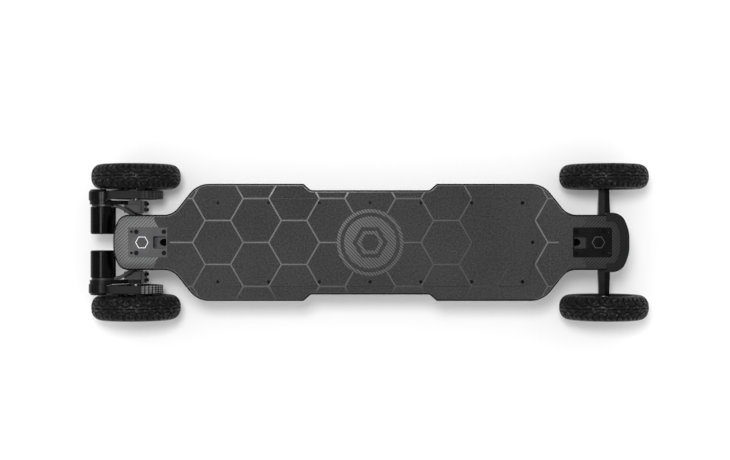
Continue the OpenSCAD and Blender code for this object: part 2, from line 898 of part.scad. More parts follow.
module rim()
  color([0.08, 0.08, 0.08])
    difference() {
      rim_body();
      for (i = [0 : spokes - 1])
        rotate([0, 360 / spokes * (i + 0.5), 0])
          prism_y(wheel_y - 10, wheel_y + 10)
            polygon(rounded([
              [9, 38, 3], [-9, 38, 3], [-4.5, 23, 2], [4.5, 23, 2]
            ]));
      for (i = [0 : spokes - 1])
        rotate([0, 360 / spokes * i, 0])
          translate([0, 0, hub_bolt_r]) rod_y(2.2, wheel_y - 10, wheel_y + 10);
      at_valve(rim_r - 10) cylinder(r = stem_r + 0.3, h = 20);
    }

// ---------------------------------------------------------------- belt drive

tooth_pitch = 5;
wheel_pitch_r = wheel_teeth * tooth_pitch / (2 * PI);
motor_pitch_r = motor_teeth * tooth_pitch / (2 * PI);
tip_drop = 0.57;            // tooth tips lie this far inside the pitch circle
tooth_depth = 2.1;

// Toothed section: each tooth has a flat tip and a rounded valley.
function toothed(teeth, r_tip) =
  let (step = 360 / teeth)
  [for (i = [0 : teeth - 1], p = [[-0.28, 0], [0.22, 0], [0.3, 0.7], [0.4, 1], [0.54, 1], [0.64, 0.7]])
    let (a = step * (i + p[0]), r = r_tip - tooth_depth * p[1])
    r * [cos(a), sin(a)]];

module wheel_pulley()
  color([0.08, 0.08, 0.08]) {
    tip = wheel_pitch_r - tip_drop;
    difference() {
      union() {
        prism_y(belt_y0 - 0.5, belt_y1 + 0.5) polygon(toothed(wheel_teeth, tip));
        rod_y(tip + 2.4, belt_y1 + 0.5, belt_y1 + 2);
      }
      rod_y(tip - 7, belt_y0 - 2, belt_y1 - 3);
      for (i = [0 : spokes - 1])
        rotate([0, 360 / spokes * (i + 0.5), 0])
          translate([0, 0, 32]) rod_y(9, belt_y0, belt_y1 + 10);
      rod_y(bearing_r - 1, belt_y0, belt_y1 + 10);
    }
    difference() {
      rod_y(hub_r, belt_y0 + 2, belt_y1 - 2.9);
      rod_y(bearing_r + run, belt_y0, pulley_bearing + bearing_w + 0.1);
      rod_y(bearing_r - 1, belt_y0, belt_y1 + 10);
    }
    for (i = [0 : spokes - 1])
      rotate([0, 360 / spokes * i, 0])
        translate([0, 0, hub_bolt_r])
          tube_y(5, 2.2, belt_y1 + 1.9, wheel_y - web_half);
  }

module motor_pulley_body()
  difference() {
    union() {
      prism_y(belt_y0 - 0.5, belt_y1 + 0.5) polygon(toothed(motor_teeth, motor_pitch_r - tip_drop));
      rod_y(motor_pitch_r + 1.6, belt_y0 - 1.5, belt_y0 - 0.5);
      rod_y(motor_pitch_r + 1.6, belt_y1 + 0.5, belt_y1 + 1.5);
    }
    rod_y(4.02, belt_y0 - 5, belt_y1 + 5);
  }

motor_r = motor_d / 2;

// Rear-truck places with X outward (backwards) and Z up from the axle.
module at_motor()
  translate([motor_back, 0, motor_up])
    children();

module rotor() {
  color([0.06, 0.06, 0.06])
    difference() {
      union() {
        rod_y(motor_r, can_y0 + 2, can_y1);
        translate([0, can_y0, 0]) rotate([-90, 0, 0]) cylinder(r1 = motor_r - 2, r2 = motor_r, h = 2);
      }
      rod_y(motor_r - 3, can_y0 + 5, can_y1 + 1);
      for (i = [0 : 5])
        rotate([0, 60 * i, 0])
          translate([0, can_y0 - 1, 14]) rotate([-90, 0, 0]) cylinder(r = 4, h = 8);
      rod_y(4.02, can_y0 - 1, can_y0 + 8);
    }
  rod_y(4, can_y0 + 0.5, belt_y1 + 1);
  difference() {
    rod_y(motor_r - 3.02, can_y0 + 8, can_y1 - 3);
    rod_y(motor_r - 4.5, can_y0 + 7, can_y1 - 2);
  }
}

module stator() {
  difference() {
    union() {
      rod_y(motor_r - 5, can_y0 + 10, can_y1 - 5);
      rod_y(9, can_y0 + 7, mount_y0);
      rod_y(motor_r - 2, can_y1 + 0.7, mount_y0);
      block([-motor_r - 0.4, can_y1 + 0.7, -5], [-15, mount_y0, 5]);
    }
    for (i = [0 : 11])
      rotate([0, 30 * i, 0])
        translate([0, can_y0 + 9, motor_r - 8]) rotate([-90, 0, 0]) cylinder(r = 2, h = motor_len - 13);
    rod_y(6, can_y0, mount_y0 + 1);
  }
  for (y = [can_y0 + 8, mount_y0 - 5])
    tube_y(5.98, 4 + run, y, y + 4);
}

// Bracket: one plate reaches from the hanger's clamp to the motor.
jaw = 21;
jaw_cap = 6;
slit = 1;

module mount_profile()
  difference() {
    union() {
      translate([motor_back, motor_up]) circle(r = motor_r + 1.5);
      polygon([
        [-square_bar / 2, -jaw + 1], [jaw, -jaw + 1], [motor_back + 10, motor_up - motor_r],
        [motor_back - 12, motor_up + motor_r - 0.8], [12, jaw + 3], [-square_bar / 2, jaw - 1]
      ]);
    }
    square(square_bar + 0.1, center = true);
  }

module motor_mount() {
  difference() {
    union() {
      prism_y(mount_y0, mount_y1) mount_profile();
      prism_y(clamp_from, mount_y0 + 1)
        difference() {
          translate([-square_bar / 2, -jaw + 1]) square([square_bar / 2 + jaw, 2 * jaw - 2]);
          square(square_bar + 0.1, center = true);
        }
    }
    at_motor() {
      rod_y(11, mount_y0 - 1, mount_y1 + 1);
      for (i = [0 : 3])
        rotate([0, 45 + 90 * i, 0])
          translate([0, 0, 16])
            rod_y(2.1, mount_y0 - 1, mount_y1 + 1);
      rotate([0, 28, 0]) translate([-45, 0, 0]) rod_y(5, mount_y0 - 1, mount_y1 + 1);
    }
    for (y = [clamp_from + 6, mount_y1 - 6], z = [-16.5, 16.5])
      translate([-square_bar / 2 - 1, y, z]) rotate([0, 90, 0]) cylinder(r = 1.7, h = 16);
  }
  // clamp cap on the inboard side
  difference() {
    translate([-square_bar / 2 - slit - jaw_cap, clamp_from, -jaw + 1])
      cube([jaw_cap, mount_y1 - clamp_from, 2 * jaw - 2]);
    for (y = [clamp_from + 6, mount_y1 - 6], z = [-16.5, 16.5])
      translate([-square_bar / 2 - 20, y, z]) rotate([0, 90, 0]) cylinder(r = 2.1, h = 30);
    for (z = [-9 : 4.5 : 9])
      translate([-square_bar / 2 - slit - jaw_cap - 1, clamp_from - 1, z - 0.9]) cube([2, 60, 1.8]);
  }
}

module motor_mounts()
  color([0.12, 0.12, 0.12])
    at_rear() both_sides() motor_mount();

module drive_screws()
  color([0.1, 0.1, 0.1])
    at_rear() both_sides() {
      for (y = [clamp_from + 6, mount_y1 - 6], z = [-16.5, 16.5])
        translate([-square_bar / 2 - slit - jaw_cap, y, z])
          rotate([0, 90, 0]) {
            cylinder(r = 1.68, h = jaw_cap + slit + 12);
            translate([0, 0, -3]) difference() {
              cylinder(r = 3.4, h = 3);
              translate([0, 0, -1]) cylinder(r = 1.5, h = 2.5, $fn = 6);
            }
          }
      at_motor() for (i = [0 : 3])
        rotate([0, 45 + 90 * i, 0])
          translate([0, 0, 16]) {
            rod_y(2, mount_y0 + 0.02, mount_y1);
            rod_y(3.4, mount_y1, mount_y1 + 2);
          }
    }

// Half-round cover over the motor pulley, closed beside the tyre.
guard_wall = 2.5;
guard_y1 = belt_y1 + 3;
guard_from = -35;           // angles round the motor axis, from straight back
guard_turn = 150;

module belt_guards()
  color([0.12, 0.12, 0.12])
    at_rear() both_sides() at_motor()
      translate([0, mount_y1, 0])
        rotate([-90, 0, 0])
          mirror([0, 1, 0])
            rotate([0, 0, guard_from])
              rotate_extrude(angle = guard_turn, $fn = 96)
                polygon([
                  [guard_r - guard_wall, 0], [guard_r, 0], [guard_r, guard_y1 - mount_y1 - 5],
                  [guard_r - 4, guard_y1 - mount_y1], [8, guard_y1 - mount_y1],
                  [8, guard_y1 - mount_y1 - 1.2], [guard_r - 5, guard_y1 - mount_y1 - 1.2],
                  [guard_r - guard_wall, guard_y1 - mount_y1 - 6]
                ]);

// Belt: the straight runs are the outer tangents of the two pulleys.
belt_t = 1.8;
centre_gap = norm([motor_back, motor_up]);
belt_lean = asin((wheel_pitch_r - motor_pitch_r) / centre_gap);

module belt_outline(extra) {
  big = wheel_pitch_r - tip_drop + 0.1 + extra;
  small = motor_pitch_r - tip_drop + 0.1 + extra;
  circle(r = big, $fn = 128);
  rotate(atan2(motor_up, motor_back)) {
    translate([centre_gap, 0]) circle(r = small);
    polygon([
      big * [sin(belt_lean), cos(belt_lean)],
      big * [sin(belt_lean), -cos(belt_lean)],
      [centre_gap, 0] + small * [sin(belt_lean), -cos(belt_lean)],
      [centre_gap, 0] + small * [sin(belt_lean), cos(belt_lean)]
    ]);
  }
}

module drive_belts()
  color([0.1, 0.1, 0.1])
    at_rear() both_sides()
      difference() {
        prism_y(belt_y0, belt_y1) belt_outline(belt_t);
        prism_y(belt_y0 - 1, belt_y1 + 1) belt_outline(0);
      }

module left_side() at_rear() children();
module right_side() at_rear() mirror([0, 1, 0]) children();

module left_motor_rotor() left_side() at_motor() rotor();
module right_motor_rotor() right_side() at_motor() rotor();
module left_motor_pulley() color([0.4, 0.4, 0.42]) left_side() at_motor() motor_pulley_body();
module right_motor_pulley() color([0.4, 0.4, 0.42]) right_side() at_motor() motor_pulley_body();
module motor_stators() color([0.55, 0.3, 0.15]) at_rear() both_sides() at_motor() stator();

module rear_left_tyre() left_side() tyre();
module rear_left_rim() left_side() rim();
module rear_left_pulley() left_side() wheel_pulley();
module rear_right_tyre() right_side() tyre();
module rear_right_rim() right_side() rim();
module rear_right_pulley() right_side() wheel_pulley();
module front_left_tyre() at_front() tyre();
module front_left_rim() at_front() rim();
module front_right_tyre() at_front() mirror([0, 1, 0]) tyre();
module front_right_rim() at_front() mirror([0, 1, 0]) rim();

// ---------------------------------------------------------------- motor leads

lead_r = 3.6;
// Route of the left lead, from the motor's base to the grommet, outward, sideways, up
lead_route = [
  [motor_back - motor_r - 1.2, can_y1 + 1, motor_up],
  [motor_back - motor_r - 3.2, can_y1 + 1, motor_up],
  [26, 69.7, 37], [17, 65, 36], [8, 59, 38],
  [-1, 53, 42], [-9, 48, 48], [-16, 44.5, 55], [-21.5, 42.6, 61], [-24, 42, 67], [-24, 42, 74.4]
];

// Smooth curve through the points of a route, n steps between each pair.
function through(pts, n) =
  let (last = len(pts) - 1)
  concat([for (i = [0 : last - 1], s = [0 : n - 1])
    let (
      a = pts[max(0, i - 1)], b = pts[i], c = pts[i + 1], d = pts[min(last, i + 2)], t = s / n
    )
    0.5 * (2 * b + t * (c - a) + t * t * (2 * a - 5 * b + 4 * c - d)
      + t * t * t * (3 * b - 3 * c + d - a))],
    [pts[last]]);

// A round tube swept along a path.
module sweep(path, r, sides) {
  n = len(path);
  tangents = [for (i = [0 : n - 1]) unit(path[min(n - 1, i + 1)] - path[max(0, i - 1)])];
  points = [for (i = [0 : n - 1], k = [0 : sides - 1])
    let (
      t = tangents[i],
      u = unit(cross(t, [0.3, 0.2, 1])),
      v = cross(t, u),
      a = 360 * k / sides
    )
    path[i] + r * (cos(a) * u + sin(a) * v)];
  walls = [for (i = [0 : n - 2], k = [0 : sides - 1])
    let (k2 = (k + 1) % sides)
    [(i + 1) * sides + k, (i + 1) * sides + k2, i * sides + k2, i * sides + k]];
  start = [for (k = [0 : sides - 1]) k];
  end = [for (k = [sides - 1 : -1 : 0]) (n - 1) * sides + k];
  polyhedron(points, concat(walls, [start, end]));
}

module phase_leads()
  color([0.06, 0.06, 0.06])
    at_rear() both_sides()
      sweep(through(lead_route, 3), lead_r, 10);

module cable_grommets()
  color([0.04, 0.04, 0.04])
    at_rear() both_sides()
      translate([grommet_u, grommet_y, truck_h - 2])
        difference() {
          union() {
            cylinder(r = 8, h = 2);
            cylinder(r = 5.98, h = 8);
          }
          translate([0, 0, -1]) cylinder(r = lead_r + 0.25, h = 12);
        }

// ---------------------------------------------------------------- inside the bay

cell_r = 9.2;
cell_len = 65;
cell_pitch = 18.9;
cell_rows = 20;
cell_x0 = mid_x - 100;
cell_z = bay_floor + cell_r + 2;

module cell_places()
  for (i = [0 : cell_rows - 1], y = [-cell_len - 0.8, 0.8])
    translate([cell_x0 + i * cell_pitch, y, cell_z])
      rotate([-90, 0, 0])
        children();

module battery_cells()
  color([0.1, 0.45, 0.3])
    cell_places() cylinder(r = cell_r, h = cell_len, $fn = 32);

module cell_holders()
  color([0.08, 0.08, 0.08])
    difference() {
      for (y = [-cell_len + 4, -10, 4, cell_len - 10])
        block([cell_x0 - 11, y, bay_floor], [cell_x0 + cell_rows * cell_pitch - 8, y + 6, cell_z + 2]);
      cell_places() translate([0, 0, -1]) cylinder(r = cell_r + 0.05, h = cell_len + 2, $fn = 32);
    }

module battery_board()
  color([0.1, 0.3, 0.15]) {
    block([cell_x0 - 60, -45, bay_floor + 4], [cell_x0 - 16, 45, bay_floor + 5.6]);
    for (y = [-30 : 12 : 30])
      block([cell_x0 - 52, y - 4, bay_floor + 5.6], [cell_x0 - 42, y + 4, bay_floor + 8]);
    block([cell_x0 - 30, -12, bay_floor + 5.6], [cell_x0 - 20, 12, bay_floor + 12]);
    for (x = [cell_x0 - 56, cell_x0 - 20], y = [-40, 40])
      translate([x, y, bay_floor]) cylinder(r = 3, h = 4);
  }

module motor_controller()
  color([0.5, 0.5, 0.52]) {
    difference() {
      block([mid_x - 262, -48, bay_floor], [mid_x - 170, 48, bay_floor + 20], 4);
      for (i = [0 : 10])
        block([mid_x - 256 + 8 * i, -42, bay_floor + 15], [mid_x - 252 + 8 * i, 42, bay_floor + 21]);
    }
  }

module lead_between(a, b, r)
  translate(a)
    rotate([0, 90, 0])
      cylinder(r = r, h = b.x - a.x);

// From the grommet through the channel in the deck to the controller.
inner_route = [
  [rear_x - grommet_u + 6.4, grommet_y, deck_under + 4.6],
  [mid_x - 420, grommet_y, deck_under + 4.6],
  [mid_x - 395, grommet_y, deck_under + 4.6],
  [mid_x - 370, grommet_y, deck_under + 4.6],
  [mid_x - 345, grommet_y, deck_under + 4.6],
  [mid_x - 322, grommet_y, deck_under + 4.6],
  [mid_x - 299, grommet_y, deck_under + 4.6],
  [mid_x - 284, grommet_y, deck_under],
  [mid_x - 273, grommet_y, deck_under - 5],
  [mid_x - 263, grommet_y, deck_under - 8]
];

module power_leads()
  color([0.6, 0.08, 0.08]) {
    for (y = [-20, -10, 10, 20])
      lead_between([mid_x - 170, y, bay_floor + 9], [cell_x0 - 60, y, bay_floor + 9], 2);
    both_sides()
      sweep(through(inner_route, 4), 2.9, 8);
  }

module charge_port()
  color([0.1, 0.1, 0.1])
    translate([port_x, port_y, belly_z]) {
      difference() {
        union() {
          cylinder(r = port_r, h = 4);
          translate([0, 0, 3]) cylinder(r = port_r + 2.5, h = 3);
          translate([0, 0, 3]) cylinder(r = port_r - 1, h = 10);
        }
        translate([0, 0, -1]) cylinder(r = 4, h = 12);
      }
      translate([0, 0, 3]) cylinder(r = 1, h = 9);
    }

flap_t = 2;
flap_hinge_x = -14;

// Rubber flap under the port, on a pin at its rear edge.
module charge_flap()
  color([0.05, 0.05, 0.05])
    translate([port_x, port_y, belly_z - flap_t - gap])
      difference() {
        union() {
          cylinder(r = port_r + 2, h = flap_t);
          block([flap_hinge_x, -6, 0], [0, 6, flap_t]);
          translate([flap_hinge_x, 0, 0]) rod_y(2, -6, 6);
          translate([0, 0, flap_t - 0.5]) cylinder(r = 3.4, h = 2.3);
        }
        translate([0, 0, flap_t - 0.1]) cylinder(r = 1.8, h = 5);
        translate([flap_hinge_x, 0, 0]) rod_y(1.05, -7, 7);
      }

// Bezel of the switch with the flap's hinge pin and its two ears.
module switch_bezel()
  color([0.1, 0.1, 0.1]) {
    translate([port_x, button_y, belly_z])
      difference() {
        union() {
          translate([0, 0, -1.5]) cylinder(r = button_r + 4, h = 1.5);
          translate([0, 0, 0]) cylinder(r = button_r + 2, h = 8);
        }
        translate([0, 0, -2]) cylinder(r = button_r + 0.2, h = 8);
      }
    translate([port_x + flap_hinge_x, port_y, belly_z - flap_t - gap]) {
      for (y = [-9, 6.3])
        translate([0, y, 0]) difference() {
          translate([-2.5, 0, -2.5]) cube([5, 2.7, 2.5 + flap_t + gap]);
          rod_y(1.02, -1, 4);
        }
      rod_y(1, -9, 9);
    }
  }

module power_button()
  color([0.75, 0.75, 0.78])
    translate([port_x, button_y, belly_z - 2.5])
      difference() {
        cylinder(r = button_r, h = 6.5);
        translate([0, 0, -1]) difference() {
          cylinder(r = button_r - 2, h = 1.4);
          cylinder(r = button_r - 3, h = 1.4);
        }
      }

deck_shell();
deck_lid();
lid_seal();
lid_screws();
grip_deck();
grip_lid();
nose_bumper();
mount_plates();
badges();
mount_bolts();
baseplates();
riser_pads();
upper_kingpins();
rear_upper_bushings();
front_upper_bushings();
upper_pivot_cups();
battery_cells();
cell_holders();
battery_board();
motor_controller();
power_leads();
charge_port();
switch_bezel();
cable_grommets();
charge_flap();
power_button();
rear_knuckle();
rear_lower_kingpin();
rear_lower_bushings();
rear_lower_pivot_cup();
front_knuckle();
front_lower_kingpin();
front_lower_bushings();
front_lower_pivot_cup();
rear_hanger();
rear_axle();
rear_wheel_bearings();
motor_mounts();
belt_guards();
motor_stators();
drive_screws();
drive_belts();
phase_leads();
left_motor_rotor();
left_motor_pulley();
right_motor_rotor();
right_motor_pulley();
front_hanger();
front_axle();
front_wheel_bearings();
rear_left_tyre();
rear_left_rim();
rear_left_pulley();
rear_right_tyre();
rear_right_rim();
rear_right_pulley();
front_left_tyre();
front_left_rim();
front_right_tyre();
front_right_rim();
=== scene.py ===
import json
import math

import bmesh
import bpy
from mathutils import Matrix, Vector

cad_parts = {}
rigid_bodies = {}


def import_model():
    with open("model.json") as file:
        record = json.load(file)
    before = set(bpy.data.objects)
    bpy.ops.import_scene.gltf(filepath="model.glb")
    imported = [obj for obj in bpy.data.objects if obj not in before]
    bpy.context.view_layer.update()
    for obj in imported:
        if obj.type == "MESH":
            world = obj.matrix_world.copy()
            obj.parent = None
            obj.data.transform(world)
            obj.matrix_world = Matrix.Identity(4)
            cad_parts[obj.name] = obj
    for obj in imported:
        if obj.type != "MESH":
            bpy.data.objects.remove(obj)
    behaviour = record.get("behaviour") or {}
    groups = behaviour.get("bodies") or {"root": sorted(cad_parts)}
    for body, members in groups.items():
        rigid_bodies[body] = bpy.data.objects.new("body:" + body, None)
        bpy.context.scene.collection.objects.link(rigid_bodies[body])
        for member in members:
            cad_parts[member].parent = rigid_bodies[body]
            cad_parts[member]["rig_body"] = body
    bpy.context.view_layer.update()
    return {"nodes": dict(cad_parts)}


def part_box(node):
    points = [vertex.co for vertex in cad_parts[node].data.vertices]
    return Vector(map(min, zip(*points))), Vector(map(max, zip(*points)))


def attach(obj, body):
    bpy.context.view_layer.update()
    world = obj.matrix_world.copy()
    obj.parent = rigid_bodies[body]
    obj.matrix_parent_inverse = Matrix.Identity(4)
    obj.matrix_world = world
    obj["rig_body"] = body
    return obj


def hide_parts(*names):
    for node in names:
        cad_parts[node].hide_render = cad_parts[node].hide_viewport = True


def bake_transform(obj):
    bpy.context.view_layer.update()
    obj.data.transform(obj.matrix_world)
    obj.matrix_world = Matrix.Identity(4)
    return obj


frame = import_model()
mm = 0.001


def middleOf(node):
    low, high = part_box(node)
    return (low + high) / 2


# Places of the main parts, read from the frame
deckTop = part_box("deck_lid")[1].z
frontAxle = middleOf("front_axle")
rearAxle = middleOf("rear_axle")
tyreRadius = frontAxle.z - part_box("front_left_tyre")[0].z
lidMiddle = middleOf("deck_lid")


# Materials

def newMaterial(name, colour, roughness, metallic=0.0, **sockets):
    material = bpy.data.materials.new(name)
    material.use_nodes = True
    material.diffuse_color = (*colour, 1)
    shader = material.node_tree.nodes["Principled BSDF"]
    shader.inputs["Base Color"].default_value = (*colour, 1)
    shader.inputs["Roughness"].default_value = roughness
    shader.inputs["Metallic"].default_value = metallic
    for socket, value in sockets.items():
        shader.inputs[socket.replace("_", " ")].default_value = value
    return material


def shaderOf(material):
    return material.node_tree.nodes["Principled BSDF"]


def setInput(material, node, socket, value):
    if isinstance(value, bpy.types.NodeSocket):
        material.node_tree.links.new(value, node.inputs[socket])
    else:
        node.inputs[socket].default_value = value


def addNode(material, kind, sockets, **settings):
    node = material.node_tree.nodes.new(kind)
    for name, value in settings.items():
        setattr(node, name, value)
    for socket, value in sockets.items():
        setInput(material, node, socket, value)
    return node


def calc(material, operation, *values):
    sockets = dict(enumerate(values))
    return addNode(material, "ShaderNodeMath", sockets, operation=operation).outputs[0]


def objectPlace(material):
    return addNode(material, "ShaderNodeTexCoord", {}).outputs["Object"]


def axesOf(material):
    return addNode(material, "ShaderNodeSeparateXYZ", {0: objectPlace(material)}).outputs


def noise(material, scale, detail=2.0, roughness=0.5):
    place = objectPlace(material)
    sockets = {"Vector": place, "Scale": scale, "Detail": detail, "Roughness": roughness}
    return addNode(material, "ShaderNodeTexNoise", sockets).outputs["Fac"]


def spread(material, value, low, high, newLow=0.0, newHigh=1.0):
    sockets = {"Value": value, "From Min": low, "From Max": high, "To Min": newLow, "To Max": newHigh}
    return addNode(material, "ShaderNodeMapRange", sockets).outputs["Result"]


def blendColours(material, amount, first, second):
    node = addNode(material, "ShaderNodeMix", {}, data_type="RGBA")
    setInput(material, node, 0, amount)
    setInput(material, node, 6, (*first, 1) if isinstance(first, tuple) else first)
    setInput(material, node, 7, (*second, 1) if isinstance(second, tuple) else second)
    return node.outputs[2]


def scaled(material, colour, strength):
    sockets = {0: colour, "Scale": strength}
    return addNode(material, "ShaderNodeVectorMath", sockets, operation="SCALE").outputs[0]


def setColour(material, colour):
    setInput(material, shaderOf(material), "Base Color", colour)


def setRoughness(material, value):
    setInput(material, shaderOf(material), "Roughness", value)


def setBump(material, height, distance, strength=1.0):
    sockets = {"Height": height, "Distance": distance, "Strength": strength}
    bump = addNode(material, "ShaderNodeBump", sockets)
    setInput(material, shaderOf(material), "Normal", bump.outputs["Normal"])


# Woven carbon under a clear coat: two by two twill, tows a little under 2 mm wide.
# Below the top face the shell is coloured near black. This is painted shade for the dark reflections
# along the rolled edge, carried on over its sides and underside.
# Where the weave only shows as lines between pieces of grip it looks even, and the lines across the front
# of the deck are painted lighter, a painted reflection.
carbon = {
    "tow": 1.64 * mm,
    "warp": (0.043, 0.043, 0.044),
    "weft": (0.012, 0.012, 0.0124),
    # near black below the top face: painted shade for the dark reflections on the rolled edge
    "edge": (0.002, 0.002, 0.0021),
    "edgeDrop": 0.16 * mm,
    # painted light and shade along the deck: the weave is lighter at the tail and darker at the nose
    "tailPaintedLight": 1.17,
    "nosePaintedShade": 0.72,
    "line": (0.036, 0.036, 0.037),
    "lineShare": 0.85,
    "linesRear": -398 * mm,
    "linesFront": 386 * mm,
    "linesFade": 2 * mm,
    "discRadius": 67 * mm,  # round the mark in the middle of the lid, which shows the weave
    # a band of the lines across the front of the deck, painted lighter as a painted reflection
    "bandRear": 316 * mm,
    "bandFront": 384 * mm,
    "bandFade": 8 * mm,
    "bandPaintedReflection": 1.9,
}


# Falls from top to zero over the last stretch before either end of a length of the deck
def alongDeck(material, place, rear, front, fade, top):
    offMiddle = calc(material, "ABSOLUTE", calc(material, "SUBTRACT", place[0], (rear + front) / 2))
    half = (front - rear) / 2
    return spread(material, offMiddle, half - fade, half, top, 0.0)


def lineZone(material, place):
    between = alongDeck(material, place, carbon["linesRear"], carbon["linesFront"],
                        carbon["linesFade"], 1.0)
    ahead = calc(material, "SUBTRACT", place[0], lidMiddle.x)
    squares = [calc(material, "MULTIPLY", part, part) for part in (ahead, place[1])]
    away = calc(material, "SQRT", calc(material, "ADD", *squares))
    outside = spread(material, away, carbon["discRadius"], carbon["discRadius"] + 1 * mm)
    return calc(material, "MULTIPLY", calc(material, "MULTIPLY", between, outside), carbon["lineShare"])


def carbonTwill(name, lean, edgePaintedShade):
    material = newMaterial(name, carbon["warp"], 0.38, 0.85, Coat_Weight=0.06, Coat_Roughness=0.1)
    place = axesOf(material)
    across = calc(material, "DIVIDE", calc(material, "ADD", place[0], place[2]), carbon["tow"])
    along = calc(material, "DIVIDE", calc(material, "ADD", place[1], place[2]), carbon["tow"])
    step = calc(material, "ADD", calc(material, "FLOOR", across),
                calc(material, "MULTIPLY", calc(material, "FLOOR", along), lean))
    turn = calc(material, "FLOORED_MODULO", step, 4.0)
    warpOnTop = calc(material, "LESS_THAN", turn, 1.5)
    hill = []
    for part in (along, across):  # each tow is highest along its middle
        share = calc(material, "FRACT", part)
        hill.append(calc(material, "SINE", calc(material, "MULTIPLY", share, math.pi)))
    height = calc(material, "ADD", calc(material, "MULTIPLY", warpOnTop, hill[0]),
                  calc(material, "MULTIPLY", calc(material, "SUBTRACT", 1.0, warpOnTop), hill[1]))
    colour = blendColours(material, warpOnTop, carbon["weft"], carbon["warp"])
    colour = blendColours(material, lineZone(material, place), colour, carbon["line"])
    shade = spread(material, height, 0.0, 0.7, 0.7, 1.0)
    drift = spread(material, noise(material, 9.0), 0.3, 0.7, 0.85, 1.1)
    # Painted light: the weave is made lighter towards the tail and darker towards the nose, standing in
    # for how the light falls along the deck
    fade = spread(material, place[0], rearAxle.x, frontAxle.x, carbon["tailPaintedLight"], carbon["nosePaintedShade"])
    # Painted reflection: a band of lines across the front of the deck is made lighter
    reflectionBand = alongDeck(material, place, carbon["bandRear"], carbon["bandFront"],
                     carbon["bandFade"], carbon["bandPaintedReflection"])
    fade = calc(material, "ADD", fade, reflectionBand)
    strength = calc(material, "MULTIPLY", calc(material, "MULTIPLY", shade, drift), fade)
    weave = scaled(material, colour, strength)
    if edgePaintedShade:
        # Painted shade: below the top face the colour turns near black, standing in for the dark
        # reflections on the rolled edge
        drop = calc(material, "SUBTRACT", deckTop, place[2])
        edgeShadeMask = spread(material, drop, carbon["edgeDrop"] * 0.4, carbon["edgeDrop"])
        weave = blendColours(material, edgeShadeMask, weave, carbon["edge"])
    setColour(material, weave)
    setBump(material, height, 0.05 * mm, 0.4)
    return material


# Grip sheet: fine grit in blotches, in slightly uneven patches
grip = {
    "grain": 1500.0, "blotch": 330.0, "patch": 6.0,
    "dark": (0.008, 0.008, 0.0083), "light": (0.058, 0.058, 0.059),
}


def gritSheet(name):
    material = newMaterial(name, grip["light"], 0.9, 0.0, Specular_IOR_Level=0.2)
    grain = noise(material, grip["grain"], 3.0, roughness=0.7)
    blotch = noise(material, grip["blotch"], 3.0, roughness=0.75)
    speck = calc(material, "MULTIPLY_ADD", blotch, 0.6, calc(material, "MULTIPLY", grain, 0.4))
    patch = spread(material, noise(material, grip["patch"], 3.0), 0.3, 0.7, -0.08, 0.1)
    amount = calc(material, "ADD", spread(material, speck, 0.36, 0.68), patch)
    setColour(material, blendColours(material, amount, grip["dark"], grip["light"]))
    setRoughness(material, spread(material, grain, 0.3, 0.7, 0.98, 0.66))
    setBump(material, speck, 0.5 * mm, 0.9)
    return material


def mouldedRubber(name, colour, roughness, grain=900.0):
    material = newMaterial(name, colour, roughness, 0.0, Specular_IOR_Level=0.1)
    fine = noise(material, grain, 3.0)
    cloud = noise(material, 24.0, 3.0)
    grey = tuple(c * 2.6 + 0.01 for c in colour)
    amount = spread(material, cloud, 0.35, 0.75, 0.0, 0.25)
    setColour(material, blendColours(material, amount, colour, grey))
    setRoughness(material, spread(material, fine, 0.3, 0.7, roughness - 0.1, roughness + 0.12))
    setBump(material, fine, 0.08 * mm, 0.5)
    return material


# Tyre rubber: the tread's grooves are coloured blacker than the lugs, painted shade in the recesses, and
# the lugs are grey in places, partly scuffs and partly painted glints
tread = {"lug": (0.002, 0.002, 0.0021), "scuff": (0.06, 0.06, 0.061), "groove": (0.001, 0.001, 0.001)}


def tyreRubber(name):
    material = newMaterial(name, tread["lug"], 0.5, 0.0, Specular_IOR_Level=0.14)
    groove = addNode(material, "ShaderNodeAttribute", {}, attribute_name="groove").outputs["Fac"]
    crown = addNode(material, "ShaderNodeAttribute", {}, attribute_name="crown").outputs["Fac"]
    # Partly wear, partly painted glints: grey patches on the lugs, most of all on the crown
    wearAndGlint = spread(material, noise(material, 190.0, 4.0, roughness=0.7), 0.55, 0.7)
    scuff = calc(material, "MULTIPLY", wearAndGlint, spread(material, crown, 0.0, 1.0, 0.12, 1.0))
    lug = blendColours(material, scuff, tread["lug"], tread["scuff"])
    # Painted shade: the grooves are coloured darker than the unscuffed lugs
    setColour(material, blendColours(material, groove, lug, tread["groove"]))
    fine = noise(material, 800.0, 3.0)
    shine = spread(material, noise(material, 240.0, 2.0), 0.35, 0.65, 0.3, 0.72)
    setRoughness(material, calc(material, "MULTIPLY_ADD", groove, 0.3, shine))
    setBump(material, fine, 0.12 * mm, 0.5)
    return material


# Belt backs carry moulded squares, painted pale as highlights where they go round the front of the wheel
# pulleys, and far more so on the right-hand belt
beltBack = {
    "pitch": 6.4 * mm, "rowPitch": 4.3 * mm, "radius": 40 * mm, "square": (0.3, 0.3, 0.31),
    "highlightFrom": 17 * mm, "bareTo": 23 * mm, "leftShare": 0.14,
}


